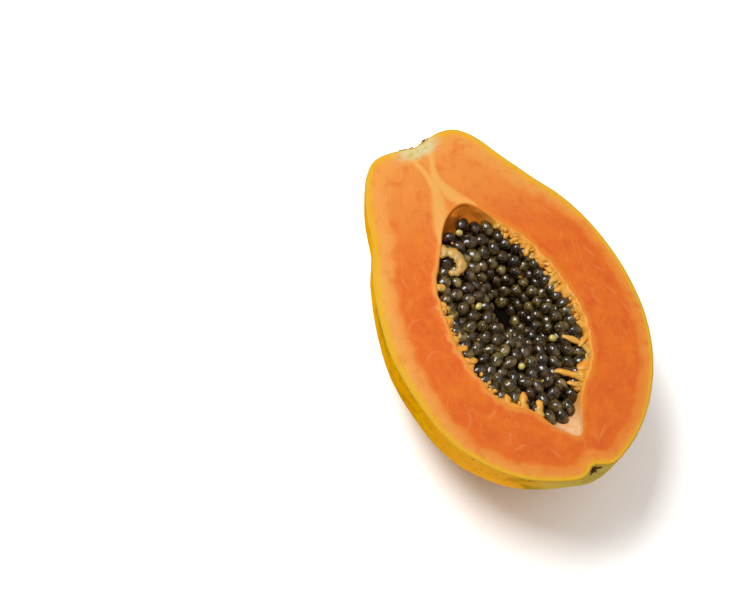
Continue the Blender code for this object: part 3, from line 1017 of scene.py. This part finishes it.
def make_stem_crumbs(rng, material):
    """Dry corky crumbs where the stalk broke off, thickest along the cut edge."""
    shape, faces = egg()
    solids = []
    left, middle, right = rng.uniform(-6.5, -1.5, 16), rng.uniform(-1.5, 9, 10), rng.uniform(5.6, 7.4, 8)
    for x in np.concatenate([left, middle, right]):
        dip = abs(rng.normal()) * 0.018 + 0.004
        direction = towards(np.array([math.atan2(x, STEM_LENGTH)]), np.array([dip]))
        place = (skin_radius(direction)[:, None] * direction)[0]
        half_sizes = rng.uniform(0.25, 0.75, 3) * (1.5, 0.8, 0.9) * MM
        points = lump(shape, half_sizes, turned_to(rng.normal(size=3)), 0.4, 0.5 * MM, x)
        solids.append((points + place, faces))
    vertices, sides, owners = joined(solids)
    return make_piece("papaya_stem_crumbs", vertices, sides, [material], "flesh")


def make_blossom_scar(material):
    """The dried remains of the flower in the dimple: a few dark curled arms."""
    solids = []
    for angle in SCAR_ARMS:
        length = 3.4 if angle == SCAR_ARMS[0] else 2.2
        path = []
        for share in np.linspace(0, 1, len(SCAR_TAPER)):
            reach = 0.3 + length * share
            place = SCAR_MIDDLE + (reach * math.cos(angle), 0, reach * math.sin(angle) * 0.8)
            place[2] = min(place[2], SCAR_TOP)
            direction = place / np.linalg.norm(place)
            path.append(direction * (skin_radius(direction[None])[0] + 0.1 * MM))
        solids.append(tube(path, SCAR_TAPER, sides=8, roughness=0.6, shift=angle))
    vertices, sides, owners = joined(solids)
    return make_piece("papaya_blossom_scar", vertices, sides, [material], "flesh")


def dry_paint(name, dark, light):
    paint = Paint(name, IOR=1.2)
    paint.set("Base Color", paint.mix(paint.steps(paint.noise(0.8 * MM, 4.0), 0.35, 0.65), dark, light))
    paint.relief(paint.noise(0.4 * MM, 4.0), 0.15 * MM)
    paint.rough(0.6, 0.85, 0.9 * MM)
    return paint.material


# ---- floor, light and camera
FLOOR_SIZE = 6
DAYLIGHT, DAYLIGHT_STRENGTH = (1.0, 0.965, 0.91, 1), 0.40


def make_floor():
    bpy.ops.mesh.primitive_plane_add(size=FLOOR_SIZE, location=(0, 0, 0))
    floor = bpy.context.object
    floor.name = "floor"
    paint = Paint("floor", Roughness=0.6)
    paint.set("Base Color", paint.mix(paint.noise(0.3), srgb(250, 250, 250), srgb(252, 252, 252)))
    floor.data.materials.append(paint.material)


def make_light(name, direction, distance, size, power):
    """A rectangular lamp seen from the fruit in a direction, and turned to it."""
    light = bpy.data.lights.new(name, "AREA")
    light.shape = "RECTANGLE"
    light.size, light.size_y = size
    light.energy = power
    lamp = bpy.data.objects.new(name, light)
    bpy.context.scene.collection.objects.link(lamp)
    aim = Vector(FRUIT_CENTRE)
    lamp.location = aim + Vector(direction).normalized() * distance
    lamp.rotation_euler = (lamp.location - aim).to_track_quat("Z", "Y").to_euler()


CAMERA_AZIMUTH, CAMERA_ELEVATION, CAMERA_ROLL = (math.radians(angle) for angle in (-49.85, 60.7, 26.0))
CAMERA_AIM = np.array((-51.0, 21.6, 0.0)) * MM  # on the cut face's plane, from the fruit's centre
CAMERA_DISTANCE = 720.4 * MM
CAMERA_LENS = 83.6  # mm


def make_camera():
    camera = bpy.data.objects.new("camera", bpy.data.cameras.new("camera"))
    camera.data.lens = CAMERA_LENS
    back = Vector((
        math.sin(CAMERA_AZIMUTH) * math.cos(CAMERA_ELEVATION),
        -math.cos(CAMERA_AZIMUTH) * math.cos(CAMERA_ELEVATION),
        math.sin(CAMERA_ELEVATION),
    ))
    level = Vector((math.cos(CAMERA_AZIMUTH), math.sin(CAMERA_AZIMUTH), 0))
    right = level * math.cos(CAMERA_ROLL) + back.cross(level) * math.sin(CAMERA_ROLL)
    up = back.cross(right)
    place = Vector(FRUIT_CENTRE + CAMERA_AIM) + back * CAMERA_DISTANCE
    camera.matrix_world = Matrix.Translation(place) @ Matrix((right, up, back)).transposed().to_4x4()
    bpy.context.scene.collection.objects.link(camera)
    bpy.context.scene.camera = camera


def light_world():
    world = bpy.data.worlds.new("studio")
    bpy.context.scene.world = world
    world.use_nodes = True
    background = world.node_tree.nodes["Background"]
    background.inputs["Color"].default_value = DAYLIGHT
    background.inputs["Strength"].default_value = DAYLIGHT_STRENGTH


CHANCE = 7  # the seeds, tufts and crumbs fall the same way each run
bpy.context.scene.view_settings.view_transform = "Standard"
rng = np.random.default_rng(CHANCE)
make_flesh([skin_paint(), flesh_paint(), lining_paint()])
centres = make_seeds(rng, seed_paint(), pale_seed_paint())
make_bed(bed_paint())
make_threads(rng, centres, thread_paint())
make_stem_crumbs(rng, dry_paint("papaya_stem_cork", srgb(44, 44, 26), srgb(96, 92, 58)))
make_blossom_scar(dry_paint("papaya_blossom_scar", srgb(52, 26, 8), srgb(92, 58, 24)))
make_floor()
make_light("key", (-0.42, 0.48, 1.0), 0.9, (0.52, 0.40), 12)
make_light("overhead", (0.25, -0.1, 1.0), 1.2, (1.3, 1.3), 5)
light_world()
make_camera()
